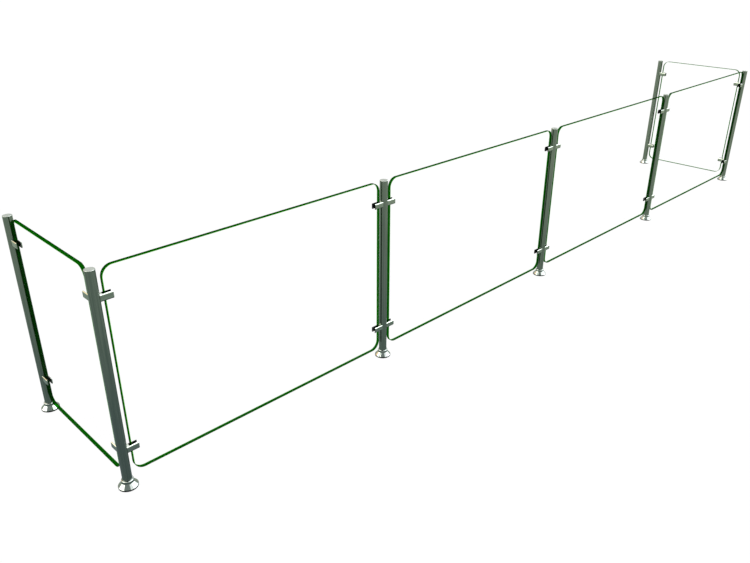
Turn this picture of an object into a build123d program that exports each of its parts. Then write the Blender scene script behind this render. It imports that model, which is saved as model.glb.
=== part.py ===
"""Post-and-glass barrier: seven tube posts in a U, six glass panels held by bar clamps.

Units are millimetres, +Z is up. The origin is on the floor at the centre of the footprint.
The long row runs along X at the negative Y side, and the two short returns run along +Y.
Posts are numbered round the U from the left return's free end, and panels likewise.
"""

import math
import os

from build123d import *

# ---- Layout ----
bay_length = 1545.0  # from post axis to post axis in the long row
bay_count = 4
return_length = 800.0  # from post axis to post axis in a side return
total_height = 1020.0  # floor to the top of a post cap

# ---- Post tube, its cap and its base plate ----
tube_radius = 21.2
tube_wall = 2.0
cap_thickness = 3.0
cap_edge_radius = 1.2
plug_length = 14.0
plug_chamfer = 1.0
plug_clearance = 0.1
nut_hole_reach = 4.24  # how far the nut hole's cut runs out past the tube
plate_thickness = 6.0
plate_edge_chamfer = 0.8
weld_leg = 3.0
anchor_count = 4
anchor_hole_radius = 4.5
anchor_weld_margin = 2.3  # metal between a hole and the weld
anchor_edge_margin = 4.5  # metal between a hole and the plate's edge
anchor_first_angle = 45.0
anchor_circle_radius = tube_radius + weld_leg + anchor_weld_margin + anchor_hole_radius
plate_radius = anchor_circle_radius + anchor_hole_radius + anchor_edge_margin

# ---- Floor cover, which slides on the tube ----
cover_plate_clearance = 1.5
cover_wall = 1.5
cover_rim_height = 6.5
cover_shoulder_drop = 2.5  # how far the dome's outer edge is set in from the rim
cover_collar_gap = 5.3  # from the tube to the collar's outside
cover_collar_base = 25.0
cover_height = 38.0
cover_collar_round = 3.0
cover_cove_radius = 5.0
cover_rim_round = 1.5
cover_bore_clearance = 0.4
cover_collar_radius = tube_radius + cover_collar_gap
cover_radius = plate_radius + cover_plate_clearance + cover_wall

# ---- Glass ----
glass_thickness = 16.8
glass_corner_radius = 50.0
glass_arris = 0.8
glass_floor_gap = 60.0
glass_slot_gap = 7.0  # from the bottom of the clamp's slot to the panel's edge

# ---- Bar clamps ----
clamp_height = 30.0
clamp_jaw = 4.8  # how thick each jaw is, measured across the glass
clamp_saddle = 9.8  # from the tube to the bottom of the glass slot
clamp_grip = 41.0  # from the bottom of the glass slot to the free end
clamp_edge_radius = 5.0
clamp_end_radius = 1.5
clamp_inset = 124.0  # from the panel's top or bottom edge to the clamp's centre
gasket_thickness = 0.8
gasket_margin = 1.0  # how far the pad stays inside the jaw's outline
cover_plate_post_gap = 0.4  # between the clamp's front plate and the tube
clamp_slot_start = tube_radius + clamp_saddle
clamp_reach = clamp_slot_start + clamp_grip
gasket_start = clamp_slot_start + gasket_margin
glass_post_gap = clamp_slot_start + glass_slot_gap

# ---- Clamp screws: two through each clamp, into its front plate ----
clamp_screw_radius = 2.0
clamp_screw_head_radius = 3.8
clamp_screw_head_depth = 2.2
clamp_screw_tube_gap = 3.8  # from the tube to the screw's axis
clamp_screw_post_offset = tube_radius + clamp_screw_tube_gap
clamp_screw_spacing = 16.0
clamp_screw_hole_clearance = 0.25
clamp_screw_engagement = 3.6
clamp_screw_socket = 1.25
clamp_screw_socket_depth = 1.2

# ---- Post screw and rivet nut: one pair holds each clamp to its post ----
post_screw_radius = 3.0
post_screw_head_radius = 5.0
post_screw_head_depth = 4.0
post_screw_length = 16.0
post_screw_recess_radius = 5.4
post_screw_recess_depth = 5.0
post_screw_hole_clearance = 0.3
post_screw_socket = 2.0
post_screw_socket_depth = 2.0
nut_body_radius = 4.4
nut_hole_clearance = 0.1
nut_length = 11.6
nut_bulge_radius = 6.4
nut_bulge_length = 3.2
nut_wall_gap = 0.05
nut_thread_clearance = 0.05

# ---- Worked out from the sizes above ----
tube_bore_radius = tube_radius - tube_wall
tube_top = total_height - cap_thickness
glass_top = total_height
glass_height = glass_top - glass_floor_gap
glass_middle = glass_floor_gap + glass_height / 2
half_glass = glass_thickness / 2
half_slot = half_glass + gasket_thickness
half_clamp = half_slot + clamp_jaw
clamp_heights = [glass_floor_gap + clamp_inset, glass_top - clamp_inset]
slot_length = clamp_reach - clamp_slot_start
row_half = bay_length * bay_count / 2
half_depth = return_length / 2
screw_rows = [-clamp_screw_spacing / 2, clamp_screw_spacing / 2]
post_screw_seat = clamp_slot_start - post_screw_recess_depth
nut_outer_end = math.sqrt(tube_radius**2 - nut_body_radius**2) - nut_wall_gap
nut_bulge_end = math.sqrt(tube_bore_radius**2 - nut_bulge_radius**2) - nut_wall_gap

# Post axes in order round the U.
front_xs = [-row_half + bay_length * i for i in range(bay_count + 1)]
post_points = [Vector(-row_half, half_depth)]
post_points += [Vector(x, -half_depth) for x in front_xs]
post_points += [Vector(row_half, half_depth)]
post_count = len(post_points)

# Each panel runs from one post to the next, and its inner side faces into the U.
inner_sides = [Vector(1, 0)] + [Vector(0, 1)] * bay_count + [Vector(-1, 0)]
panels = list(zip(post_points[:-1], post_points[1:], inner_sides))


def along(start, end):
    """Unit direction from one post axis to the next."""
    return (end - start).normalized()


def clamp_planes(start, end, inner):
    """Working planes of a panel's four clamps: X away from the post, Y to the inner side."""
    planes = []
    for post, heading in ((start, along(start, end)), (end, along(end, start))):
        for height in clamp_heights:
            origin = Vector(post.X, post.Y, height)
            planes.append(Plane(origin, x_dir=heading, z_dir=heading.cross(inner)))
    return planes


def post_headings(index):
    """Directions in which clamps leave a post."""
    headings = []
    if index > 0:
        headings.append(along(post_points[index], post_points[index - 1]))
    if index < post_count - 1:
        headings.append(along(post_points[index], post_points[index + 1]))
    return headings


def save(name, solid):
    """Label one finished piece and write its STEP file."""
    solid.label = name
    export_step(solid, f"parts/{name}.step")


def copies(solid, planes):
    """The same solid on each working plane, kept as separate solids of one node."""
    return Compound(children=[solid.moved(plane.location) for plane in planes])


def make_post(index):
    """Tube with a rivet-nut hole for every clamp it carries."""
    point = post_points[index]
    with BuildPart() as post:
        with BuildSketch(Plane.XY.offset(plate_thickness)):
            with Locations((point.X, point.Y)):
                Circle(tube_radius)
                Circle(tube_bore_radius, mode=Mode.SUBTRACT)
        extrude(amount=tube_top - plate_thickness)
        for heading in post_headings(index):
            for height in clamp_heights:
                origin = Vector(point.X, point.Y, height)
                with BuildSketch(Plane(origin, z_dir=heading)):
                    Circle(nut_body_radius + nut_hole_clearance)
                extrude(amount=tube_radius + nut_hole_reach, mode=Mode.SUBTRACT)
    return post.part


def make_cap(point):
    """Flat cap with a plug that fits the tube's bore."""
    with BuildPart() as cap:
        with BuildSketch(Plane.XY.offset(tube_top)):
            with Locations((point.X, point.Y)):
                Circle(tube_radius)
        extrude(amount=cap_thickness)
        fillet(cap.edges().group_by(Axis.Z)[-1], cap_edge_radius)
        with BuildSketch(Plane.XY.offset(tube_top)):
            with Locations((point.X, point.Y)):
                Circle(tube_bore_radius - plug_clearance)
        extrude(amount=-plug_length)
        chamfer(cap.edges().group_by(Axis.Z)[0], plug_chamfer)
    return cap.part


def make_base_plate(point):
    """Round plate with anchor holes and the fillet weld that joins it to the tube."""
    with BuildPart() as plate:
        with BuildSketch(Plane.XY):
            with Locations((point.X, point.Y)):
                Circle(plate_radius)
        extrude(amount=plate_thickness)
        chamfer(plate.edges().group_by(Axis.Z)[-1], plate_edge_chamfer)
        with BuildSketch(Plane.XY):
            with Locations((point.X, point.Y)):
                with PolarLocations(anchor_circle_radius, anchor_count, anchor_first_angle):
                    Circle(anchor_hole_radius)
        extrude(amount=plate_thickness, mode=Mode.SUBTRACT)
        with BuildSketch(Plane.XZ.offset(-point.Y)):
            with BuildLine():
                weld_x = point.X + tube_radius
                Polyline(
                    (weld_x, plate_thickness),
                    (weld_x + weld_leg, plate_thickness),
                    (weld_x, plate_thickness + weld_leg),
                    close=True,
                )
            make_face()
        revolve(axis=Axis((point.X, point.Y, 0), (0, 0, 1)))
    return plate.part


def make_floor_cover():
    """Rosette shell: a low rim, a coved dome and a collar round the tube."""
    bore = tube_radius + cover_bore_clearance
    shoulder = cover_radius - cover_shoulder_drop
    with BuildPart() as cover:
        with BuildSketch(Plane.XZ) as outline:
            with BuildLine():
                outer = FilletPolyline(
                    (cover_radius, 0),
                    (cover_radius, cover_rim_height),
                    (shoulder, cover_rim_height + cover_shoulder_drop),
                    (cover_collar_radius, cover_collar_base),
                    (cover_collar_radius, cover_height),
                    (bore, cover_height),
                    radius=[
                        cover_rim_round,
                        cover_rim_round,
                        cover_cove_radius,
                        cover_collar_round,
                    ],
                )
                Polyline(outer @ 1, (bore, 0), outer @ 0)
            make_face()
        revolve(axis=Axis.Z)
        with BuildSketch(Plane.XZ):
            with BuildLine():
                Polyline(
                    (bore, 0),
                    (cover_radius - cover_wall, 0),
                    (cover_radius - cover_wall, cover_rim_height),
                    (cover_collar_radius - cover_wall, cover_collar_base - cover_wall),
                    (cover_collar_radius - cover_wall, cover_height - cover_collar_round),
                    (cover_collar_radius - cover_collar_round, cover_height - cover_wall),
                    (bore, cover_height - cover_wall),
                    close=True,
                )
            make_face()
        revolve(axis=Axis.Z, mode=Mode.SUBTRACT)
    return cover.part


def make_glass(start, end, inner):
    """Glass panel with round corners and a fine arris on every edge."""
    middle = (start + end) / 2
    width = (end - start).length - 2 * glass_post_gap
    face_plane = Plane(
        Vector(middle.X, middle.Y, glass_middle), x_dir=along(start, end), z_dir=inner
    )
    with BuildPart() as glass:
        with BuildSketch(face_plane):
            RectangleRounded(width, glass_height, glass_corner_radius)
        extrude(amount=half_glass, both=True)
        chamfer(glass.edges().filter_by(lambda e: abs(edge_offset(e, face_plane)) > 1), glass_arris)
    return glass.part


def edge_offset(edge, plane):
    """Distance of an edge's middle from a plane, nought for edges that cross it."""
    return (edge @ 0.5 - plane.origin).dot(plane.z_dir)


def make_clamp_blank():
    """Whole clamp bar with its saddle, before the glass slot and the halves are cut."""
    with BuildPart() as blank:
        with BuildSketch(Plane.YZ):
            RectangleRounded(2 * half_clamp, clamp_height, clamp_edge_radius)
        extrude(amount=clamp_reach)
        fillet(blank.edges().group_by(Axis.X)[-1], clamp_end_radius)
    return blank.part


def make_clamp_back(blank):
    """Saddle and back jaw in one piece, with its two cover screws' and its post screw's holes."""
    with BuildPart() as back:
        add(blank)
        with BuildSketch(Plane.XY):
            Circle(tube_radius)
        extrude(amount=clamp_height, both=True, mode=Mode.SUBTRACT)
        with BuildSketch(Plane.XY):
            with Locations((clamp_reach / 2, -half_slot - clamp_jaw)):
                Rectangle(2 * clamp_reach, 2 * clamp_jaw)
            with Locations((clamp_slot_start + slot_length, 0)):
                Rectangle(2 * slot_length, 2 * half_slot)
        extrude(amount=clamp_height, both=True, mode=Mode.SUBTRACT)
        with BuildSketch(Plane.YZ):
            Circle(post_screw_radius + post_screw_hole_clearance)
        extrude(amount=clamp_slot_start, mode=Mode.SUBTRACT)
        with BuildSketch(Plane.YZ.offset(post_screw_seat)):
            Circle(post_screw_recess_radius)
        extrude(amount=post_screw_recess_depth, mode=Mode.SUBTRACT)
        for row in screw_rows:
            seat = Plane((clamp_screw_post_offset, half_clamp, row), z_dir=(0, 1, 0))
            with Locations(seat):
                CounterSinkHole(
                    clamp_screw_radius + clamp_screw_hole_clearance,
                    clamp_screw_head_radius + clamp_screw_hole_clearance,
                )
    return back.part


def make_clamp_front(blank):
    """Front jaw plate, tapped from behind for the two clamp screws."""
    with BuildPart() as front:
        add(blank)
        with BuildSketch(Plane.XY):
            Circle(tube_radius + cover_plate_post_gap)
        extrude(amount=clamp_height, both=True, mode=Mode.SUBTRACT)
        with BuildSketch(Plane.XY):
            with Locations((clamp_reach / 2, half_clamp - half_slot)):
                Rectangle(2 * clamp_reach, 2 * half_clamp)
        extrude(amount=clamp_height, both=True, mode=Mode.SUBTRACT)
        for row in screw_rows:
            with BuildSketch(Plane((clamp_screw_post_offset, -half_slot, row), z_dir=(0, -1, 0))):
                Circle(clamp_screw_radius)
            extrude(amount=clamp_screw_engagement, mode=Mode.SUBTRACT)
    return front.part


def make_gasket(side):
    """Rubber pad between one jaw and the glass; side is -1 for the front and 1 for the back."""
    length = clamp_reach - gasket_margin - gasket_start
    with BuildPart() as gasket:
        with BuildSketch(Plane.XZ.offset(-side * half_glass)):
            with Locations((gasket_start + length / 2, 0)):
                Rectangle(length, clamp_height - 2 * gasket_margin)
        extrude(amount=-side * gasket_thickness)
    return gasket.part


def make_clamp_screw(row):
    """Countersunk screw from the back face into the front plate."""
    tip = -half_slot - clamp_screw_engagement
    with BuildPart() as screw:
        with BuildSketch(Plane.XY.offset(row)):
            with BuildLine():
                x = clamp_screw_post_offset
                Polyline(
                    (x, half_clamp),
                    (x + clamp_screw_head_radius, half_clamp),
                    (x + clamp_screw_radius, half_clamp - clamp_screw_head_depth),
                    (x + clamp_screw_radius, tip),
                    (x, tip),
                    close=True,
                )
            make_face()
        revolve(axis=Axis((clamp_screw_post_offset, 0, row), (0, 1, 0)))
        with BuildSketch(Plane((clamp_screw_post_offset, half_clamp, row), z_dir=(0, 1, 0))):
            RegularPolygon(clamp_screw_socket, 6)
        extrude(amount=-clamp_screw_socket_depth, mode=Mode.SUBTRACT)
    return screw.part


def make_post_screw():
    """Low-head screw from the glass slot through the saddle into the rivet nut."""
    with BuildPart() as screw:
        with BuildSketch(Plane.YZ.offset(post_screw_seat)):
            Circle(post_screw_head_radius)
        extrude(amount=post_screw_head_depth)
        with BuildSketch(Plane.YZ.offset(post_screw_seat)):
            Circle(post_screw_radius)
        extrude(amount=-post_screw_length)
        with BuildSketch(Plane.YZ.offset(post_screw_seat + post_screw_head_depth)):
            RegularPolygon(post_screw_socket, 6)
        extrude(amount=-post_screw_socket_depth, mode=Mode.SUBTRACT)
    return screw.part


def make_rivet_nut():
    """Threaded insert in the tube wall, bulged on the inside."""
    with BuildPart() as nut:
        with BuildSketch(Plane.YZ.offset(nut_outer_end)):
            Circle(nut_body_radius)
        extrude(amount=-nut_length)
        with BuildSketch(Plane.YZ.offset(nut_bulge_end)):
            Circle(nut_bulge_radius)
        extrude(amount=-nut_bulge_length)
        with BuildSketch(Plane.YZ.offset(nut_outer_end)):
            Circle(post_screw_radius + nut_thread_clearance)
        extrude(amount=-nut_length, mode=Mode.SUBTRACT)
    return nut.part


def save_posts():
    """Write each post with its cap, base plate and floor cover."""
    cover = make_floor_cover()
    for number, point in enumerate(post_points, start=1):
        save(f"post_tube_{number}", make_post(number - 1))
        save(f"post_cap_{number}", make_cap(point))
        save(f"base_plate_{number}", make_base_plate(point))
        save(f"floor_cover_{number}", cover.moved(Location(point)))


def save_panels():
    """Write each glass panel with the pieces of its four clamps."""
    blank = make_clamp_blank()
    back = make_clamp_back(blank)
    front = make_clamp_front(blank)
    gaskets = [make_gasket(side) for side in (-1, 1)]
    screws = [make_clamp_screw(row) for row in screw_rows]
    for number, (start, end, inner) in enumerate(panels, start=1):
        planes = clamp_planes(start, end, inner)
        save(f"glass_panel_{number}", make_glass(start, end, inner))
        save(f"clamp_backs_{number}", copies(back, planes))
        save(f"clamp_fronts_{number}", copies(front, planes))
        pads = [pad.moved(plane.location) for plane in planes for pad in gaskets]
        save(f"clamp_gaskets_{number}", Compound(children=pads))
        pins = [pin.moved(plane.location) for plane in planes for pin in screws]
        save(f"clamp_screws_{number}", Compound(children=pins))


def save_post_fixings():
    """Write the screws and rivet nuts that hold every clamp to its post."""
    planes = [plane for panel in panels for plane in clamp_planes(*panel)]
    save("post_screws", copies(make_post_screw(), planes))
    save("rivet_nuts", copies(make_rivet_nut(), planes))


os.makedirs("parts", exist_ok=True)
save_posts()
save_panels()
save_post_fixings()
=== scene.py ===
"""Looks of a post-and-glass barrier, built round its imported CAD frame.

Lengths are metres in the row frame: +Z is up, the long row of panels runs along X and
the two short returns run along Y. Steel, rubber and fixings keep their CAD meshes and
get finishes here. The glass panels and the weld beads are modelled here.
"""

import logging
import math
from collections.abc import Sequence
from dataclasses import dataclass, field, replace
from enum import Enum

import bmesh
import bpy
from mathutils import Euler, Matrix, Vector


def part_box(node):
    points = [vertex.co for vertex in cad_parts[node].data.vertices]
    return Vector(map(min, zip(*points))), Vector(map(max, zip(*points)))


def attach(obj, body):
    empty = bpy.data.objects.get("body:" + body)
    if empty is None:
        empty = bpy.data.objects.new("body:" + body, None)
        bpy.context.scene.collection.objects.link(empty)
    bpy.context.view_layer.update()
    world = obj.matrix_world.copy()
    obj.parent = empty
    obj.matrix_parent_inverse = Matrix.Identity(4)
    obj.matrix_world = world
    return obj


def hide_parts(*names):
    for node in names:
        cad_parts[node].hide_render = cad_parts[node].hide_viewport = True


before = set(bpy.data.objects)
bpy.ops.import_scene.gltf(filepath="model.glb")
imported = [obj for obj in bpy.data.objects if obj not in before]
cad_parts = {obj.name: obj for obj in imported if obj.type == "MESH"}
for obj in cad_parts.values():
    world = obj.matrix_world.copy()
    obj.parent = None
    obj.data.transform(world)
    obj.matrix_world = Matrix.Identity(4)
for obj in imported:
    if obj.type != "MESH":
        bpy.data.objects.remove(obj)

POST_COUNT = 7
PANEL_COUNT = 6
FIXED_BODY = "barrier"

# Where a node tree starts and how far apart its nodes stand.
FIRST_NODE = -1200
NODE_SPACING = 180
# Shares of fine and broad lines in the drawn grain.
FINE_SHARE = 0.35
BROAD_SHARE = 0.65
# Colours that lie over a metal: settled dust, and the black of painted shade on its
# ends, undersides and foot.
DUST_COLOUR = (0.52, 0.52, 0.48)
PAINTED_SHADE_COLOUR = (0.004, 0.005, 0.005)
# How nearly a face looks along the direction whose ends get painted shade: no painted
# shade, full painted shade.
PAINTED_END_FADE = (0.45, 0.8)
# How far a face looks down, as the Z of its normal: no painted shade, full painted
# shade.
UNDERSIDE_FADE = (-0.04, -0.42)
# The painted shade along the foot of a piece: how solid it is, and where it is solid as
# a share of its height.
FOOT_SHADE_SOLID = 0.86
FOOT_SHADE_SHARE = 0.6
FOOT_SHADE_EDGE = 0.0001
# A face of a panel is flat when its normal is at least this far along the thickness.
FLAT_NORMAL = 0.99
# The weld bead: how far its middle stands out, and how its rings are told apart.
BEAD_OFFSET = 0.0011
RING_REACH = 0.0026
RING_ANGLE = 0.01
MERGE_GAP = 1e-6
# The studio: the camera's sensor and range, and the floor's place under the posts.
SENSOR_WIDTH = 36.0
CAMERA_RANGE = 400.0
FLOOR_LEVEL = -0.0005
# The upright panels of light: softness of their sides in degrees, their feet, and the
# least level reach that a bearing is worked out from.
PANEL_SOFTNESS = 8
PANEL_FOOT = (0.12, 0.26)
LEAST_REACH = 0.001

log = logging.getLogger("barrier")

Colour = tuple[float, float, float]
Triple = tuple[float, float, float]


class Direction(Enum):
    """Which way a panel's face looks, as a unit vector."""

    ALONG_ROW = (0.0, 1.0, 0.0)
    ACROSS_ROW = (1.0, 0.0, 0.0)


class SocketKind(Enum):
    """Kinds of socket that the shared node groups use."""

    VALUE = "NodeSocketFloat"
    VECTOR = "NodeSocketVector"


class Bench:
    """A node tree being wired, with short calls for the steps every finish needs."""

    def __init__(self, tree: bpy.types.NodeTree) -> None:
        """Start on an empty tree.

        Args:
            tree: The node tree of a material, a world or a group.
        """
        self.tree = tree
        self.tree.nodes.clear()
        self.column = 0

    def node(self, kind: str, **settings: object) -> bpy.types.Node:
        """Add a node.

        Args:
            kind: Blender's node type name.
            **settings: Properties to set on the node.

        Returns:
            The new node.
        """
        made = self.tree.nodes.new(kind)
        made.location = (self.column * NODE_SPACING + FIRST_NODE, 0)
        self.column += 1
        for name, value in settings.items():
            setattr(made, name, value)
        return made

    def link(self, start: bpy.types.NodeSocket, end: bpy.types.NodeSocket) -> None:
        """Join an output to an input."""
        self.tree.links.new(start, end)

    def math(
        self,
        operation: str,
        a: bpy.types.NodeSocket | float,
        b: bpy.types.NodeSocket | float = 0.0,
        clamp: bool = False,
    ) -> bpy.types.NodeSocket:
        """Add a Math node.

        Args:
            operation: Name of the operation.
            a: First operand, a socket or a number.
            b: Second operand, a socket or a number.
            clamp: Whether the result stays from 0 to 1.

        Returns:
            The node's output.
        """
        made = self.node("ShaderNodeMath", operation=operation, use_clamp=clamp)
        for place, operand in enumerate((a, b)):
            if isinstance(operand, (int, float)):
                made.inputs[place].default_value = operand
            else:
                self.link(operand, made.inputs[place])
        return made.outputs[0]

    def ramp(
        self,
        source: bpy.types.NodeSocket,
        stops: Sequence[tuple[float, Colour]],
    ) -> bpy.types.NodeSocket:
        """Turn a value into a colour along a ramp.

        Args:
            source: Value from 0 to 1.
            stops: Places on the ramp and their colours.

        Returns:
            The ramp's colour.
        """
        made = self.node("ShaderNodeValToRGB")
        elements = made.color_ramp.elements
        while len(elements) > 1:
            elements.remove(elements[-1])
        elements[0].position, elements[0].color = stops[0][0], (*stops[0][1], 1.0)
        for place, colour in stops[1:]:
            elements.new(place).color = (*colour, 1.0)
        self.link(source, made.inputs["Fac"])
        return made.outputs["Color"]

    def blend(
        self,
        share: bpy.types.NodeSocket,
        first: Colour | bpy.types.NodeSocket,
        second: Colour | bpy.types.NodeSocket,
    ) -> bpy.types.NodeSocket:
        """Mix two colours.

        Args:
            share: How much of the second colour, from 0 to 1.
            first: Colour where share is 0.
            second: Colour where share is 1.

        Returns:
            The mixed colour.
        """
        made = self.node("ShaderNodeMix", data_type="RGBA")
        self.link(share, made.inputs[0])
        for place, colour in ((6, first), (7, second)):
            if isinstance(colour, tuple):
                made.inputs[place].default_value = (*colour, 1.0)
            else:
                self.link(colour, made.inputs[place])
        return made.outputs[2]

    def span(
        self, share: bpy.types.NodeSocket, low: float, high: float
    ) -> bpy.types.NodeSocket:
        """Stretch a value from 0..1 to low..high.

        Args:
            share: Value from 0 to 1.
            low: What 0 becomes.
            high: What 1 becomes.

        Returns:
            The stretched value.
        """
        made = self.node("ShaderNodeMapRange", clamp=True)
        self.link(share, made.inputs["Value"])
        made.inputs["To Min"].default_value = low
        made.inputs["To Max"].default_value = high
        return made.outputs["Result"]

    def fade(
        self,
        source: bpy.types.NodeSocket,
        start: float,
        end: float,
        top: float = 1.0,
    ) -> bpy.types.NodeSocket:
        """Rise smoothly from nought to a top value.

        Args:
            source: Value that the rise follows.
            start: Where the rise is still nought.
            end: Where it has reached the top.
            top: The top value.

        Returns:
            The risen value.
        """
        made = self.node("ShaderNodeMapRange", interpolation_type="SMOOTHSTEP")
        self.link(source, made.inputs["Value"])
        made.inputs["From Min"].default_value = start
        made.inputs["From Max"].default_value = end
        made.inputs["To Max"].default_value = top
        return made.outputs["Result"]

    def parts(self, vector: bpy.types.NodeSocket) -> bpy.types.Node:
        """Split a vector into its X, Y and Z.

        Args:
            vector: The vector.

        Returns:
            The node that gives the three.
        """
        made = self.node("ShaderNodeSeparateXYZ")
        self.link(vector, made.inputs[0])
        return made

    def along(
        self, vector: bpy.types.NodeSocket, direction: Triple
    ) -> bpy.types.NodeSocket:
        """Measure how far a vector reaches along a direction.

        Args:
            vector: The vector.
            direction: The direction, of length 1 or nought.

        Returns:
            The reach.
        """
        made = self.node("ShaderNodeVectorMath", operation="DOT_PRODUCT")
        self.link(vector, made.inputs[0])
        made.inputs[1].default_value = direction
        return made.outputs["Value"]

    def bump(
        self, shader: bpy.types.Node, height: bpy.types.NodeSocket, relief: float
    ) -> None:
        """Raise a relief on a shader's surface.

        Args:
            shader: The shader.
            height: Height from 0 to 1.
            relief: What a height of 1 stands for, in metres.
        """
        made = self.node("ShaderNodeBump")
        made.inputs["Distance"].default_value = relief
        self.link(height, made.inputs["Height"])
        self.link(made.outputs["Normal"], shader.inputs["Normal"])

    def tinted(
        self,
        colour: bpy.types.NodeSocket,
        rough: bpy.types.NodeSocket,
        shine: float,
        passing: float,
    ) -> bpy.types.NodeSocket:
        """Make a tinted surface that coloured light passes straight through.

        Args:
            colour: Colour of the surface and of the light that passes.
            rough: Roughness of the surface.
            shine: How strongly it mirrors.
            passing: Share of the light that passes, from 0 to 1.

        Returns:
            The surface's shader.
        """
        shader = self.node("ShaderNodeBsdfPrincipled")
        self.link(colour, shader.inputs["Base Color"])
        self.link(rough, shader.inputs["Roughness"])
        shader.inputs["Specular IOR Level"].default_value = shine
        clear = self.node("ShaderNodeBsdfTransparent")
        self.link(colour, clear.inputs["Color"])
        both = self.node("ShaderNodeMixShader")
        both.inputs["Fac"].default_value = passing
        self.link(shader.outputs["BSDF"], both.inputs[1])
        self.link(clear.outputs["BSDF"], both.inputs[2])
        return both.outputs["Shader"]


class GroupShelf:
    """The shared node groups, each built once and kept by name.

    Attributes:
        TONE_FADE: Where the grain's tone is darkest and palest.
        SMEAR_FADE: Where a patch starts and where it is a full smear.
        SPECK_FADE: Where a speck ends and where it is solid, from its middle.
        UPWARD_FADE: How far a face looks up to hold no dust, and to hold all of it.
    """

    TONE_FADE = (0.32, 0.68)
    SMEAR_FADE = (0.48, 0.72)
    SPECK_FADE = (0.14, 0.04)
    UPWARD_FADE = (0.55, 0.98)

    @staticmethod
    def _open(
        name: str,
        takes: list[tuple[str, SocketKind, float]],
        gives: list[str],
    ) -> tuple[bpy.types.NodeTree, Bench, bpy.types.Node, bpy.types.Node]:
        """Make an empty group with its sockets.

        Args:
            name: Name of the group.
            takes: Input names, kinds and defaults.
            gives: Names of the value outputs.

        Returns:
            The group, its bench, its input node and its output node.
        """
        group = bpy.data.node_groups.new(name, "ShaderNodeTree")
        for label, kind, default in takes:
            socket = group.interface.new_socket(
                name=label, in_out="INPUT", socket_type=kind.value
            )
            if kind is SocketKind.VALUE:
                socket.default_value = default
        for label in gives:
            group.interface.new_socket(
                name=label, in_out="OUTPUT", socket_type=SocketKind.VALUE.value
            )
        bench = Bench(group)
        inside, outside = bench.node("NodeGroupInput"), bench.node("NodeGroupOutput")
        return group, bench, inside, outside

    @staticmethod
    def _texture(
        bench: Bench, kind: str, takes: bpy.types.Node, scale: str
    ) -> bpy.types.Node:
        """Add a texture that follows the group's Place and one of its scales.

        Args:
            bench: The group's bench.
            kind: Blender's node type name.
            takes: The group's input node.
            scale: Name of the input that gives the scale.

        Returns:
            The texture node.
        """
        made = bench.node(kind)
        bench.link(takes.outputs["Place"], made.inputs["Vector"])
        bench.link(takes.outputs[scale], made.inputs["Scale"])
        return made

    @classmethod
    def drawn_grain(cls) -> bpy.types.NodeTree:
        """Fine lines that run one way, as drawing and brushing leave on steel.

        Returns:
            The group, which gives a tone and a height.
        """
        name = "drawn grain"
        if name in bpy.data.node_groups:
            return bpy.data.node_groups[name]
        group, bench, takes, gives = cls._open(
            name,
            [
                ("Place", SocketKind.VECTOR, 0.0),
                ("Lines per metre", SocketKind.VALUE, 900.0),
                ("Broad lines per metre", SocketKind.VALUE, 120.0),
            ],
            ["Tone", "Height"],
        )
        tones = []
        for label, detail in (("Lines per metre", 3.0), ("Broad lines per metre", 1.0)):
            noise = cls._texture(bench, "ShaderNodeTexNoise", takes, label)
            noise.inputs["Detail"].default_value = detail
            noise.inputs["Roughness"].default_value = 0.6
            tones.append(noise.outputs["Fac"])
        fine = bench.math("MULTIPLY", tones[0], FINE_SHARE)
        broad = bench.math("MULTIPLY", tones[1], BROAD_SHARE)
        firm = bench.fade(bench.math("ADD", fine, broad), *cls.TONE_FADE)
        bench.link(firm, gives.inputs["Tone"])
        bench.link(tones[0], gives.inputs["Height"])
        return group

    @classmethod
    def handling(cls) -> bpy.types.NodeTree:
        """Soft uneven patches where hands, cloths and air have dulled a surface.

        Returns:
            The group, which gives a mask of smears and a mask of small specks.
        """
        name = "handling"
        if name in bpy.data.node_groups:
            return bpy.data.node_groups[name]
        group, bench, takes, gives = cls._open(
            name,
            [
                ("Place", SocketKind.VECTOR, 0.0),
                ("Patches per metre", SocketKind.VALUE, 9.0),
                ("Specks per metre", SocketKind.VALUE, 240.0),
            ],
            ["Smear", "Specks"],
        )
        patches = cls._texture(
            bench, "ShaderNodeTexNoise", takes, "Patches per metre"
        )
        patches.inputs["Detail"].default_value = 4.0
        patches.inputs["Distortion"].default_value = 0.6
        smear = bench.fade(patches.outputs["Fac"], *cls.SMEAR_FADE)
        bench.link(smear, gives.inputs["Smear"])
        dots = cls._texture(bench, "ShaderNodeTexVoronoi", takes, "Specks per metre")
        speck = bench.fade(dots.outputs["Distance"], *cls.SPECK_FADE)
        bench.link(speck, gives.inputs["Specks"])
        return group

    @classmethod
    def settled_dust(cls) -> bpy.types.NodeTree:
        """Dust that lies thinly on what faces up.

        Returns:
            The group, which gives a mask.
        """
        name = "settled dust"
        if name in bpy.data.node_groups:
            return bpy.data.node_groups[name]
        group, bench, takes, gives = cls._open(
            name,
            [
                ("Place", SocketKind.VECTOR, 0.0),
                ("Facing", SocketKind.VECTOR, 0.0),
                ("Clumps per metre", SocketKind.VALUE, 60.0),
            ],
            ["Dust"],
        )
        facing = bench.parts(takes.outputs["Facing"])
        up = bench.fade(facing.outputs["Z"], *cls.UPWARD_FADE)
        clumps = cls._texture(bench, "ShaderNodeTexNoise", takes, "Clumps per metre")
        clumps.inputs["Detail"].default_value = 5.0
        bench.link(
            bench.math("MULTIPLY", up, clumps.outputs["Fac"]), gives.inputs["Dust"]
        )
        return group


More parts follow.
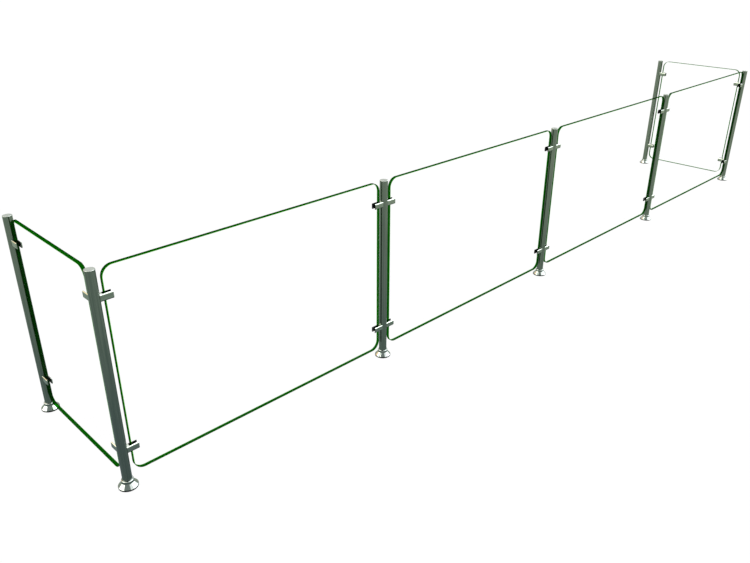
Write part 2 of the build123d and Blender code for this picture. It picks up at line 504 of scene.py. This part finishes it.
class Finish:
    """A surface finish that wires its own shader and makes its own material."""

    name: str

    def wire(self, bench: Bench, place: bpy.types.Node) -> bpy.types.NodeSocket:
        """Wire the finish.

        Args:
            bench: The material's bench.
            place: Texture Coordinate node.

        Returns:
            The shader to show.
        """
        raise NotImplementedError

    def material(self) -> bpy.types.Material:
        """Make the material, or give the one made before.

        Returns:
            The material of this finish.
        """
        made = bpy.data.materials.get(self.name)
        if made is None:
            made = bpy.data.materials.new(self.name)
            made.use_nodes = True
            bench = Bench(made.node_tree)
            place = bench.node("ShaderNodeTexCoord")
            shader = self.wire(bench, place)
            bench.link(
                shader, bench.node("ShaderNodeOutputMaterial").inputs["Surface"]
            )
        return made

    def dress(self, *nodes: str) -> None:
        """Put this finish on CAD nodes.

        Args:
            *nodes: Names of the nodes.
        """
        for name in nodes:
            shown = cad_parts[name]
            for slot in shown.material_slots:
                slot.material = self.material()

    @staticmethod
    def group(
        bench: Bench,
        tree: bpy.types.NodeTree,
        place: bpy.types.NodeSocket,
        **values: float,
    ) -> bpy.types.Node:
        """Place a shared group.

        Args:
            bench: The material's bench.
            tree: The group's tree.
            place: Socket for the group's Place.
            **values: The group's values, with underscores for spaces in their names.

        Returns:
            The group node.
        """
        made = bench.node("ShaderNodeGroup")
        made.node_tree = tree
        bench.link(place, made.inputs["Place"])
        for label, value in values.items():
            made.inputs[label.replace("_", " ")].default_value = value
        return made


@dataclass(frozen=True)
class Steel(Finish):
    """Stainless steel, drawn or polished.

    Attributes:
        name: Name of the material.
        pale: Colour of the metal's lighter lines.
        deep: Colour of the metal's darker lines.
        gloss: Lowest and highest roughness.
        stretch: Scale of the grain along X, Y and Z.
        lines: Fine grain lines per metre.
        broad: Broad grain lines per metre.
        relief: Height of the grain, in metres.
        dust: How much settled dust shows on top.
        painted_dark_ends: Direction along which the end faces get black painted shade,
            or noughts for none.
        underside_shade: How strongly painted shade darkens what faces down, from 0 to
            1.
        foot_shade_height: Height in metres up to which a band of painted shade darkens
            the metal at its foot.
    """

    name: str
    pale: Colour
    deep: Colour
    gloss: tuple[float, float]
    stretch: Triple = (1.0, 1.0, 0.02)
    lines: float = 900.0
    broad: float = 120.0
    relief: float = 0.00001
    dust: float = 0.12
    painted_dark_ends: Triple = (0.0, 0.0, 0.0)
    underside_shade: float = 0.0
    foot_shade_height: float = 0.0

    def wire(self, bench: Bench, place: bpy.types.Node) -> bpy.types.NodeSocket:
        """Wire grain, handling marks, dust and painted shade into a metal.

        Args:
            bench: The material's bench.
            place: Texture Coordinate node.

        Returns:
            The metal's shader.
        """
        turned = bench.node("ShaderNodeMapping")
        bench.link(place.outputs["Object"], turned.inputs["Vector"])
        turned.inputs["Scale"].default_value = self.stretch
        grain = self.group(
            bench,
            GroupShelf.drawn_grain(),
            turned.outputs["Vector"],
            Lines_per_metre=self.lines,
            Broad_lines_per_metre=self.broad,
        )
        marks = self.group(bench, GroupShelf.handling(), place.outputs["Object"])
        dust = self.group(bench, GroupShelf.settled_dust(), place.outputs["Object"])
        bench.link(place.outputs["Normal"], dust.inputs["Facing"])
        metal = bench.blend(grain.outputs["Tone"], self.deep, self.pale)
        dusty = bench.math("MULTIPLY", dust.outputs["Dust"], self.dust)
        clean = bench.blend(dusty, metal, DUST_COLOUR)
        # Painted shade: dark ends, undersides and a band at the foot are blended
        # towards black.
        colour = bench.blend(self._darkened(bench, place), clean, PAINTED_SHADE_COLOUR)
        shader = bench.node("ShaderNodeBsdfPrincipled")
        bench.link(colour, shader.inputs["Base Color"])
        shader.inputs["Metallic"].default_value = 1.0
        low, high = self.gloss
        rough = bench.math(
            "ADD",
            bench.span(grain.outputs["Tone"], low, (low + high) / 2),
            bench.span(marks.outputs["Smear"], 0.0, (high - low) / 2),
        )
        bench.link(rough, shader.inputs["Roughness"])
        bench.bump(shader, grain.outputs["Height"], self.relief)
        return shader.outputs["BSDF"]

    def _darkened(
        self, bench: Bench, place: bpy.types.Node
    ) -> bpy.types.NodeSocket:
        """Mask the painted shade: dark end faces, undersides and a dark band at the
        foot.

        Args:
            bench: The material's bench.
            place: Texture Coordinate node.

        Returns:
            The mask.
        """
        normal = place.outputs["Normal"]
        end = bench.math("ABSOLUTE", bench.along(normal, self.painted_dark_ends))
        # Painted shade on the end faces that look along the given direction.
        dark_ends_mask = bench.fade(end, *PAINTED_END_FADE)
        facing = bench.parts(normal)
        # Painted shade on what faces down.
        below = bench.fade(facing.outputs["Z"], *UNDERSIDE_FADE, self.underside_shade)
        height = bench.parts(place.outputs["Object"])
        # Painted shade in a band at the foot, up to the given height.
        foot_shade_mask = bench.fade(
            height.outputs["Z"],
            self.foot_shade_height + FOOT_SHADE_EDGE,
            self.foot_shade_height * FOOT_SHADE_SHARE,
            FOOT_SHADE_SOLID if self.foot_shade_height else 0.0,
        )
        return bench.math("MAXIMUM", bench.math("MAXIMUM", dark_ends_mask, below), foot_shade_mask)


@dataclass(frozen=True)
class WeldedSteel(Finish):
    """Steel plate with the straw and blue tint that a weld's heat leaves round it.

    Attributes:
        name: Name of the material.
        centre: Axis of the weld, X and Y.
        weld_radius: Radius where the weld meets the tube.
        fade: How far the tint reaches.
        waver: How far the tint's rings waver, in metres.
        wear: How much of the tint is worn off.
        worn: Colour of the worn plate.
        gloss: Lowest and highest roughness.
        relief: Height of the mill grain, in metres.
        tints: Colours of the tint, from the weld outwards.
    """

    name: str
    centre: tuple[float, float]
    weld_radius: float
    fade: float = 0.016
    waver: float = 0.0015
    wear: float = 0.35
    worn: Colour = (0.30, 0.31, 0.30)
    gloss: tuple[float, float] = (0.28, 0.52)
    relief: float = 0.00004
    tints: tuple[tuple[float, Colour], ...] = (
        (0.0, (0.10, 0.10, 0.11)),
        (0.16, (0.09, 0.12, 0.22)),
        (0.34, (0.20, 0.12, 0.16)),
        (0.55, (0.36, 0.26, 0.12)),
        (0.85, (0.34, 0.34, 0.32)),
    )

    def wire(self, bench: Bench, place: bpy.types.Node) -> bpy.types.NodeSocket:
        """Wire the plate's mill grain and its heat tint.

        Args:
            bench: The material's bench.
            place: Texture Coordinate node.

        Returns:
            The plate's shader.
        """
        moved = bench.node("ShaderNodeMapping")
        bench.link(place.outputs["Object"], moved.inputs["Vector"])
        moved.inputs["Location"].default_value = (-self.centre[0], -self.centre[1], 0.0)
        split = bench.parts(moved.outputs["Vector"])
        square = bench.math(
            "ADD",
            bench.math("MULTIPLY", split.outputs["X"], split.outputs["X"]),
            bench.math("MULTIPLY", split.outputs["Y"], split.outputs["Y"]),
        )
        distance = bench.math("SQRT", square)
        marks = self.group(
            bench,
            GroupShelf.handling(),
            place.outputs["Object"],
            Patches_per_metre=90.0,
        )
        shift = bench.math("MULTIPLY", marks.outputs["Smear"], self.waver)
        wavy = bench.math("ADD", distance, shift)
        beyond = bench.math("SUBTRACT", wavy, self.weld_radius)
        heat = bench.math("DIVIDE", beyond, self.fade, clamp=True)
        tint = bench.ramp(heat, self.tints)
        grain = self.group(
            bench,
            GroupShelf.drawn_grain(),
            place.outputs["Object"],
            Lines_per_metre=700.0,
            Broad_lines_per_metre=90.0,
        )
        bare = bench.math("MULTIPLY", grain.outputs["Tone"], self.wear)
        colour = bench.blend(bare, tint, self.worn)
        shader = bench.node("ShaderNodeBsdfPrincipled")
        shader.inputs["Metallic"].default_value = 1.0
        bench.link(colour, shader.inputs["Base Color"])
        bench.link(
            bench.span(grain.outputs["Tone"], *self.gloss), shader.inputs["Roughness"]
        )
        bench.bump(shader, grain.outputs["Height"], self.relief)
        return shader.outputs["BSDF"]


@dataclass(frozen=True)
class Rubber(Finish):
    """Black sheet rubber with a moulded surface.

    Attributes:
        name: Name of the material.
        colour: Colour of the rubber.
        bloom: Colour of its chalky bloom.
        chalk: How solid the bloom is.
        gloss: Lowest and highest roughness.
        shine: How strongly it mirrors.
        relief: Height of its pebble, in metres.
    """

    name: str = "gasket rubber"
    colour: Colour = (0.002, 0.0022, 0.0023)
    bloom: Colour = (0.012, 0.013, 0.013)
    chalk: float = 0.35
    gloss: tuple[float, float] = (0.55, 0.8)
    shine: float = 0.08
    relief: float = 0.00005

    def wire(self, bench: Bench, place: bpy.types.Node) -> bpy.types.NodeSocket:
        """Wire the rubber's fine pebble and its chalky bloom.

        Args:
            bench: The material's bench.
            place: Texture Coordinate node.

        Returns:
            The rubber's shader.
        """
        marks = self.group(
            bench,
            GroupShelf.handling(),
            place.outputs["Object"],
            Patches_per_metre=120.0,
            Specks_per_metre=2600.0,
        )
        chalky = bench.math("MULTIPLY", marks.outputs["Smear"], self.chalk)
        shader = bench.node("ShaderNodeBsdfPrincipled")
        bench.link(
            bench.blend(chalky, self.colour, self.bloom), shader.inputs["Base Color"]
        )
        bench.link(
            bench.span(marks.outputs["Smear"], *self.gloss), shader.inputs["Roughness"]
        )
        shader.inputs["Specular IOR Level"].default_value = self.shine
        bench.bump(shader, marks.outputs["Specks"], self.relief)
        return shader.outputs["BSDF"]


@dataclass(frozen=True)
class ClearFace(Finish):
    """The broad faces of clear glass: all but unseen, with faint wiping marks.

    Attributes:
        name: Name of the material.
        tint: Colour of the little that shows.
        wiped: Colour of a wiping mark.
        clean: How solid clean glass looks.
        marked: How solid a wiping mark looks.
        gloss: Lowest and highest roughness.
    """

    name: str = "glass face"
    tint: Colour = (0.80, 0.90, 0.83)
    wiped: Colour = (0.92, 0.95, 0.93)
    clean: float = 0.0015
    marked: float = 0.007
    gloss: tuple[float, float] = (0.02, 0.12)

    def wire(self, bench: Bench, place: bpy.types.Node) -> bpy.types.NodeSocket:
        """Wire the face's faint tint and marks.

        Args:
            bench: The material's bench.
            place: Texture Coordinate node.

        Returns:
            The face's shader.
        """
        marks = self.group(
            bench,
            GroupShelf.handling(),
            place.outputs["Object"],
            Patches_per_metre=5.0,
        )
        shader = bench.node("ShaderNodeBsdfPrincipled")
        bench.link(
            bench.blend(marks.outputs["Smear"], self.tint, self.wiped),
            shader.inputs["Base Color"],
        )
        bench.link(
            bench.span(marks.outputs["Smear"], *self.gloss), shader.inputs["Roughness"]
        )
        bench.link(
            bench.span(marks.outputs["Smear"], self.clean, self.marked),
            shader.inputs["Alpha"],
        )
        return shader.outputs["BSDF"]


@dataclass(frozen=True)
class GreenEdge(Finish):
    """The ground edge of laminated glass: light comes out of it deep green.

    Attributes:
        name: Name of the material.
        across: Which way the panel's face looks.
        plane: Where the panel's middle is, along that direction.
        ply: What passes through the deepest glass.
        pale: What passes where the grinding wheel left it smoother.
        film: What passes through the layer between the two plies.
        half_film: Half that layer's thickness.
        passing: Share of the light that comes from behind.
        gloss: Lowest and highest roughness.
        shine: How strongly it mirrors.
    """

    name: str
    across: Direction
    plane: float
    ply: Colour = (0.0004, 0.072, 0.0001)
    pale: Colour = (0.0015, 0.100, 0.0002)
    film: Colour = (0.004, 0.085, 0.001)
    half_film: float = 0.0004
    passing: float = 0.86
    gloss: tuple[float, float] = (0.3, 0.5)
    shine: float = 0.0

    def wire(self, bench: Bench, place: bpy.types.Node) -> bpy.types.NodeSocket:
        """Wire the green plies, the film between them and the marks of the ground edge.

        Args:
            bench: The material's bench.
            place: Texture Coordinate node.

        Returns:
            The edge's shader.
        """
        depth = bench.along(place.outputs["Object"], self.across.value)
        offset = bench.math("ABSOLUTE", bench.math("SUBTRACT", depth, self.plane))
        line = bench.math("LESS_THAN", offset, self.half_film)
        grain = self.group(
            bench,
            GroupShelf.drawn_grain(),
            place.outputs["Object"],
            Lines_per_metre=500.0,
            Broad_lines_per_metre=24.0,
        )
        plies = bench.blend(grain.outputs["Tone"], self.ply, self.pale)
        green = bench.blend(line, plies, self.film)
        rough = bench.span(grain.outputs["Tone"], *self.gloss)
        return bench.tinted(green, rough, self.shine, self.passing)


@dataclass(frozen=True)
class GreenBorder(Finish):
    """The narrow border of a panel's faces, where the green edge shows through.

    Attributes:
        name: Name of the material.
        deep: What passes where the border is deepest.
        light: What passes where it is lightest.
        passing: Share of the light that comes from behind.
        gloss: Lowest and highest roughness.
        shine: How strongly it mirrors.
    """

    name: str = "glass border"
    deep: Colour = (0.035, 0.30, 0.004)
    light: Colour = (0.07, 0.42, 0.010)
    passing: float = 0.85
    gloss: tuple[float, float] = (0.05, 0.15)
    shine: float = 0.1

    def wire(self, bench: Bench, place: bpy.types.Node) -> bpy.types.NodeSocket:
        """Wire the border's uneven green.

        Args:
            bench: The material's bench.
            place: Texture Coordinate node.

        Returns:
            The border's shader.
        """
        grain = self.group(
            bench,
            GroupShelf.drawn_grain(),
            place.outputs["Object"],
            Lines_per_metre=260.0,
            Broad_lines_per_metre=30.0,
        )
        green = bench.blend(grain.outputs["Tone"], self.deep, self.light)
        rough = bench.span(grain.outputs["Tone"], *self.gloss)
        return bench.tinted(green, rough, self.shine, self.passing)


TUBE_STEEL = Steel(
    "tube steel",
    (0.232, 0.258, 0.234),
    (0.160, 0.190, 0.172),
    (0.12, 0.26),
    broad=170.0,
    dust=0.0,
)
CAP_STEEL = Steel(
    "cap steel",
    (0.25, 0.275, 0.25),
    (0.20, 0.225, 0.205),
    (0.16, 0.32),
    stretch=(1.0, 0.05, 1.0),
    dust=0.2,
)
COVER_CHROME = Steel(
    "cover chrome",
    (0.245, 0.268, 0.255),
    (0.20, 0.222, 0.212),
    (0.05, 0.14),
    stretch=(1.0, 1.0, 1.0),
    lines=420.0,
    broad=40.0,
    relief=0.000004,
    dust=0.08,
    # Painted shade: a dark band 9.2 mm high round the cover's foot.
    foot_shade_height=0.0092,
)
CLAMP_CHROME = Steel(
    "clamp chrome",
    (0.335, 0.372, 0.33),
    (0.28, 0.31, 0.275),
    (0.12, 0.24),
    stretch=(0.05, 0.05, 1.0),
    dust=0.08,
    # Painted shade on what faces down.
    underside_shade=0.9,
)
# The row's clamps: the same chrome with painted shade on the ends that look along the
# row.
ROW_CLAMP_CHROME = replace(
    CLAMP_CHROME, name="row clamp chrome", painted_dark_ends=Direction.ACROSS_ROW.value
)
SCREW_STEEL = Steel(
    "screw steel",
    (0.34, 0.35, 0.34),
    (0.24, 0.25, 0.24),
    (0.2, 0.36),
    stretch=(1.0, 1.0, 1.0),
)
NUT_STEEL = Steel(
    "nut steel",
    (0.42, 0.40, 0.31),
    (0.30, 0.29, 0.25),
    (0.3, 0.46),
    stretch=(1.0, 1.0, 1.0),
    dust=0.0,
)


def quarter_turn(shape: bmesh.types.BMesh, axis: str) -> None:
    """Turn a whole shape by 90 degrees through the origin.

    Args:
        shape: The shape.
        axis: The axis that it turns about, X, Y or Z.
    """
    bmesh.ops.rotate(
        shape,
        cent=(0, 0, 0),
        matrix=Matrix.Rotation(math.pi / 2, 3, axis),
        verts=shape.verts,
    )


def shown_piece(
    name: str,
    shape: bmesh.types.BMesh,
    finishes: list[bpy.types.Material],
    body: str,
) -> bpy.types.Object:
    """Make an object of a finished shape, at the origin, riding on a body.

    Args:
        name: The piece's name.
        shape: The shape, which is used up.
        finishes: Its materials, in slot order.
        body: The CAD body that it moves with.

    Returns:
        The object.
    """
    mesh = bpy.data.meshes.new(name)
    shape.to_mesh(mesh)
    shape.free()
    for finish in finishes:
        mesh.materials.append(finish)
    made = bpy.data.objects.new(name, mesh)
    bpy.context.scene.collection.objects.link(made)
    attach(made, body)
    return made


@dataclass
class GlassPanel:
    """A laminated glass panel with round corners and ground edges.

    Attributes:
        number: The panel's number round the U.
        corner: Radius of its corners.
        arris: Size of the ground bevel on its edges.
        corner_steps: Segments of each round corner.
        border: Width of the green border of its faces.
        face: Finish of the faces.
        rim: Finish of the border.
    """

    number: int
    corner: float = 0.05
    arris: float = 0.0008
    corner_steps: int = 16
    border: float = 0.0022
    face: ClearFace = field(default_factory=ClearFace)
    rim: GreenBorder = field(default_factory=GreenBorder)

    @property
    def node(self) -> str:
        """Name of the panel's CAD node."""
        return f"glass_panel_{self.number}"

    @staticmethod
    def direction(low: Vector, high: Vector) -> Direction:
        """Which way the face of a panel with this box looks."""
        size = high - low
        return Direction.ALONG_ROW if size.y < size.x else Direction.ACROSS_ROW

    def sheet(
        self, width: float, height: float, thickness: float
    ) -> bmesh.types.BMesh:
        """Model the panel lying in X and Z with its middle at the origin.

        Args:
            width: Length along X.
            height: Length along Z.
            thickness: Length along Y.

        Returns:
            The panel, with its faces in material 0, its edges in material 1 and the
            border of its faces in material 2.
        """
        shape = bmesh.new()
        bmesh.ops.create_grid(shape, x_segments=1, y_segments=1, size=0.5)
        bmesh.ops.scale(shape, vec=(width, height, 1.0), verts=shape.verts)
        bmesh.ops.bevel(
            shape,
            geom=list(shape.verts),
            offset=self.corner,
            offset_type="OFFSET",
            segments=self.corner_steps,
            profile=0.5,
            affect="VERTICES",
            material=-1,
        )
        quarter_turn(shape, "X")
        bmesh.ops.translate(shape, vec=(0, thickness / 2, 0), verts=shape.verts)
        grown = bmesh.ops.extrude_face_region(shape, geom=list(shape.faces))
        moved = [v for v in grown["geom"] if isinstance(v, bmesh.types.BMVert)]
        bmesh.ops.translate(shape, vec=(0, -thickness, 0), verts=moved)
        bmesh.ops.recalc_face_normals(shape, faces=shape.faces)
        rim = [
            e
            for e in shape.edges
            if abs(e.verts[0].co.y - e.verts[1].co.y) < thickness / 10
        ]
        bmesh.ops.bevel(
            shape,
            geom=rim,
            offset=self.arris,
            offset_type="OFFSET",
            segments=2,
            profile=0.5,
            affect="EDGES",
            material=-1,
        )
        bmesh.ops.recalc_face_normals(shape, faces=shape.faces)
        for one in shape.faces:
            one.smooth = abs(one.normal.y) < FLAT_NORMAL
            one.material_index = 0 if abs(one.normal.y) > FLAT_NORMAL else 1
        for one in [f for f in shape.faces if f.material_index == 0]:
            band = bmesh.ops.inset_region(
                shape, faces=[one], thickness=self.border, use_even_offset=True
            )
            for strip in band["faces"]:
                strip.material_index = 2
        return shape

    def build(self) -> bpy.types.Object:
        """Model the panel where its CAD node is, and let it stand for that node.

        Returns:
            The panel.
        """
        low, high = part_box(self.node)
        facing = self.direction(low, high)
        size, middle = high - low, (high + low) / 2
        if facing is Direction.ALONG_ROW:
            shape = self.sheet(size.x, size.z, size.y)
            plane = middle.y
        else:
            shape = self.sheet(size.y, size.z, size.x)
            quarter_turn(shape, "Z")
            plane = middle.x
        bmesh.ops.translate(shape, vec=middle, verts=shape.verts)
        label = f"glass edge {facing.name.lower()} {plane:+.2f}"
        edge = GreenEdge(label, facing, plane)
        made = shown_piece(
            f"clear_panel_{self.number}",
            shape,
            [self.face.material(), edge.material(), self.rim.material()],
            FIXED_BODY,
        )
        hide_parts(self.node)
        length = max(size.x, size.y)
        log.info("panel %d: %.3f x %.3f m", self.number, length, size.z)
        return made


@dataclass
class BarClamps:
    """The four bar clamps of one panel, with their pads and screws.

    Attributes:
        number: The panel's number round the U.
    """

    number: int

    def build(self) -> None:
        """Dress the jaws, pads and screws."""
        in_row = 1 < self.number < PANEL_COUNT
        # The row's clamps take the chrome with painted shade on their ends.
        chrome = ROW_CLAMP_CHROME if in_row else CLAMP_CHROME
        chrome.dress(f"clamp_backs_{self.number}", f"clamp_fronts_{self.number}")
        Rubber().dress(f"clamp_gaskets_{self.number}")
        SCREW_STEEL.dress(f"clamp_screws_{self.number}")
        log.info("clamps of panel %d", self.number)


@dataclass
class Post:
    """A tube post with its cap, its welded base plate and its sliding floor cover.

    Attributes:
        number: The post's number round the U.
        bead_radius: Radius of the weld bead's section.
        bead_steps: Steps round the bead, two to each ripple.
        ripple: How much every second step of the bead is thinner.
    """

    number: int
    bead_radius: float = 0.0021
    bead_steps: int = 96
    ripple: float = 0.84

    def axis(self) -> tuple[Vector, float]:
        """Find the post from its tube.

        Returns:
            The point where the tube's axis meets its lower end, and the tube's radius.
        """
        low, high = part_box(f"post_tube_{self.number}")
        middle = (low + high) / 2
        return Vector((middle.x, middle.y, low.z)), (high.x - low.x) / 2

    def weld_bead(self) -> bpy.types.Object:
        """Model the rippled bead that lies on the fillet weld at the tube's foot.

        Returns:
            The bead.
        """
        foot, radius = self.axis()
        shape = bmesh.new()
        bmesh.ops.create_circle(shape, segments=8, radius=self.bead_radius)
        quarter_turn(shape, "X")
        out = radius + BEAD_OFFSET
        bmesh.ops.translate(shape, vec=(out, 0, BEAD_OFFSET), verts=shape.verts)
        section = list(shape.edges) + list(shape.verts)
        bmesh.ops.spin(
            shape,
            geom=section,
            cent=(0, 0, 0),
            axis=(0, 0, 1),
            angle=2 * math.pi,
            steps=self.bead_steps,
            use_merge=True,
        )
        bmesh.ops.remove_doubles(shape, verts=shape.verts, dist=MERGE_GAP)
        turn = 2 * math.pi / self.bead_steps
        for step in range(0, self.bead_steps, 2):
            angle = turn * step
            centre = Vector((out * math.cos(angle), out * math.sin(angle), BEAD_OFFSET))
            ring = [
                v
                for v in shape.verts
                if (v.co - centre).length < RING_REACH and self._on(v, angle)
            ]
            bmesh.ops.scale(
                shape,
                vec=(self.ripple,) * 3,
                space=Matrix.Translation(-centre),
                verts=ring,
            )
        bmesh.ops.recalc_face_normals(shape, faces=shape.faces)
        bmesh.ops.translate(shape, vec=foot, verts=shape.verts)
        for one in shape.faces:
            one.smooth = True
        return shown_piece(
            f"weld_bead_{self.number}",
            shape,
            [self.plate_finish().material()],
            FIXED_BODY,
        )

    @staticmethod
    def _on(vertex: bmesh.types.BMVert, angle: float) -> bool:
        """Whether a vertex lies on the bead's ring at this angle."""
        gap = math.atan2(vertex.co.y, vertex.co.x) - angle
        return abs(math.atan2(math.sin(gap), math.cos(gap))) < RING_ANGLE

    def plate_finish(self) -> WeldedSteel:
        """The base plate's finish, with its heat tint round this post."""
        foot, radius = self.axis()
        return WeldedSteel(f"plate steel {self.number}", (foot.x, foot.y), radius)

    def build(self) -> None:
        """Dress the post and add its weld bead."""
        TUBE_STEEL.dress(f"post_tube_{self.number}")
        CAP_STEEL.dress(f"post_cap_{self.number}")
        self.plate_finish().dress(f"base_plate_{self.number}")
        COVER_CHROME.dress(f"floor_cover_{self.number}")
        self.weld_bead()
        log.info("post %d", self.number)


@dataclass
class PostFixings:
    """The screws and rivet nuts that hold the clamps to the posts."""

    def build(self) -> None:
        """Dress the screws and nuts."""
        SCREW_STEEL.dress("post_screws")
        NUT_STEEL.dress("rivet_nuts")
        log.info("post fixings")


@dataclass
class Studio:
    """A pale floor, soft light and the camera.

    Attributes:
        eye: Where the camera stands.
        turn: How the camera is turned, about X, Y and Z.
        roll: How far the camera leans round its own line of sight.
        lens: Focal length in millimetres on a 36 mm sensor.
        floor_size: Half the floor's side.
        floor_tone: The floor's colour.
        floor_glow: How brightly the floor is lit from below.
        fill: Strength of the even light.
        sky: The light that shiny pieces mirror, from straight down to straight up.
        sky_peak: Strength that a sky colour of 1 stands for.
        panels: Upright panels of light or shade that shiny pieces mirror: the bearing
            of the middle and the half width in degrees, and the colour.
    """

    eye: Triple = (-4.0663, -2.8934, 2.1444)
    turn: Triple = (1.12595, 0.0, -0.77866)
    roll: float = 0.0017
    lens: float = 35.158
    floor_size: float = 120.0
    floor_tone: Colour = (0.06, 0.06, 0.06)
    floor_glow: float = 0.95
    fill: float = 1.15
    sky_peak: float = 10.0
    sky: tuple[tuple[float, Colour], ...] = (
        (-1.0, (0.02, 0.03, 0.03)),
        (-0.84, (0.03, 0.045, 0.045)),
        (-0.72, (0.12, 0.16, 0.16)),
        (-0.61, (0.27, 0.35, 0.355)),
        (-0.515, (0.306, 0.395, 0.365)),
        (-0.41, (0.42, 0.517, 0.44)),
        (-0.29, (0.62, 0.72, 0.58)),
        (-0.20, (0.70, 0.80, 0.62)),
        (0.0, (0.80, 0.88, 0.74)),
        (0.18, (0.90, 0.95, 0.88)),
        (0.30, (1.35, 1.38, 1.33)),
        (0.42, (1.7, 1.7, 1.65)),
        (0.62, (2.6, 2.6, 2.6)),
        (0.86, (6.4, 6.4, 6.4)),
        (1.0, (7.0, 7.0, 7.0)),
    )
    panels: tuple[tuple[float, float, Colour], ...] = (
        (-20.0, 34.0, (9.2, 9.4, 9.8)),
        (152.0, 32.0, (8.0, 7.7, 7.2)),
        (111.0, 12.0, (3.6, 2.5, 1.4)),
        (228.0, 40.0, (0.62, 0.70, 0.66)),
    )

    def floor(self) -> None:
        """Lay the floor."""
        shape = bmesh.new()
        bmesh.ops.create_grid(shape, x_segments=2, y_segments=2, size=self.floor_size)
        mesh = bpy.data.meshes.new("studio_floor")
        shape.to_mesh(mesh)
        shape.free()
        paint = bpy.data.materials.new("studio floor")
        paint.use_nodes = True
        bench = Bench(paint.node_tree)
        matt = bench.node("ShaderNodeBsdfDiffuse")
        matt.inputs["Color"].default_value = (*self.floor_tone, 1.0)
        lit = bench.node("ShaderNodeEmission")
        lit.inputs["Strength"].default_value = self.floor_glow
        both = bench.node("ShaderNodeAddShader")
        bench.link(matt.outputs["BSDF"], both.inputs[0])
        bench.link(lit.outputs["Emission"], both.inputs[1])
        bench.link(
            both.outputs["Shader"],
            bench.node("ShaderNodeOutputMaterial").inputs["Surface"],
        )
        mesh.materials.append(paint)
        laid = bpy.data.objects.new("studio_floor", mesh)
        laid.location = (0.0, 0.0, FLOOR_LEVEL)
        laid.visible_glossy = False
        bpy.context.scene.collection.objects.link(laid)

    def light(self) -> None:
        """Light the room evenly, with a ground and a ceiling for shiny pieces."""
        world = bpy.data.worlds.new("studio")
        bpy.context.scene.world = world
        world.use_nodes = True
        bench = Bench(world.node_tree)
        place = bench.node("ShaderNodeTexCoord")
        split = bench.parts(place.outputs["Generated"])
        height = bench.math(
            "MULTIPLY", bench.math("ADD", split.outputs["Z"], 1.0), 0.5, clamp=True
        )
        stops = [
            ((z + 1) / 2, tuple(c / self.sky_peak for c in colour))
            for z, colour in self.sky
        ]
        sky = bench.ramp(height, stops)
        for bearing, half_width, colour in self.panels:
            panel = self._panel(bench, split, bearing, half_width)
            sky = bench.blend(panel, sky, tuple(c / self.sky_peak for c in colour))
        mirrored = bench.node("ShaderNodeBackground")
        bench.link(sky, mirrored.inputs["Color"])
        mirrored.inputs["Strength"].default_value = self.sky_peak
        even = bench.node("ShaderNodeBackground")
        even.inputs["Color"].default_value = (1.0, 1.0, 1.0, 1.0)
        even.inputs["Strength"].default_value = self.fill
        path = bench.node("ShaderNodeLightPath")
        both = bench.node("ShaderNodeMixShader")
        bench.link(path.outputs["Is Glossy Ray"], both.inputs["Fac"])
        bench.link(even.outputs["Background"], both.inputs[1])
        bench.link(mirrored.outputs["Background"], both.inputs[2])
        shown = bench.node("ShaderNodeOutputWorld")
        bench.link(both.outputs["Shader"], shown.inputs["Surface"])

    @staticmethod
    def _panel(
        bench: Bench, split: bpy.types.Node, bearing: float, half_width: float
    ) -> bpy.types.NodeSocket:
        """Mask of an upright panel that starts a little above the horizon.

        Args:
            bench: The world's bench.
            split: Node that gives the direction's X, Y and Z.
            bearing: Bearing of the panel's middle from +X, in degrees.
            half_width: Half the panel's width in degrees.

        Returns:
            The mask.
        """
        flat = math.radians(bearing)
        side = bench.math(
            "ADD",
            bench.math("MULTIPLY", split.outputs["X"], math.cos(flat)),
            bench.math("MULTIPLY", split.outputs["Y"], math.sin(flat)),
        )
        rise = bench.math("MULTIPLY", split.outputs["Z"], split.outputs["Z"])
        level = bench.math("SQRT", bench.math("SUBTRACT", 1.0, rise))
        reach = bench.math("MAXIMUM", level, LEAST_REACH)
        facing = bench.math("DIVIDE", side, reach)
        near = bench.fade(
            facing,
            math.cos(math.radians(half_width + PANEL_SOFTNESS)),
            math.cos(math.radians(half_width - PANEL_SOFTNESS)),
        )
        raised = bench.fade(split.outputs["Z"], *PANEL_FOOT)
        return bench.math("MULTIPLY", near, raised)

    def camera(self) -> None:
        """Stand the camera in front of the near corner."""
        lens = bpy.data.cameras.new("camera")
        lens.lens = self.lens
        lens.sensor_width = SENSOR_WIDTH
        lens.clip_end = CAMERA_RANGE
        made = bpy.data.objects.new("camera", lens)
        made.location = self.eye
        level = Euler(self.turn).to_matrix()
        made.rotation_euler = (level @ Matrix.Rotation(self.roll, 3, "Z")).to_euler()
        bpy.context.scene.collection.objects.link(made)
        bpy.context.scene.camera = made

    def build(self) -> None:
        """Set up the room."""
        self.floor()
        self.light()
        self.camera()
        view = bpy.context.scene.view_settings
        view.view_transform = "Standard"
        view.look = "None"
        log.info("studio")


def main() -> None:
    """Build the looks in order, logging each panel's size."""
    logging.basicConfig(level=logging.INFO, format="%(name)s: %(message)s")
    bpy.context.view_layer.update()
    Studio().build()
    for number in range(1, POST_COUNT + 1):
        Post(number).build()
    for number in range(1, PANEL_COUNT + 1):
        GlassPanel(number).build()
        BarClamps(number).build()
    PostFixings().build()
    bpy.context.view_layer.update()


if __name__ == "__main__":
    main()
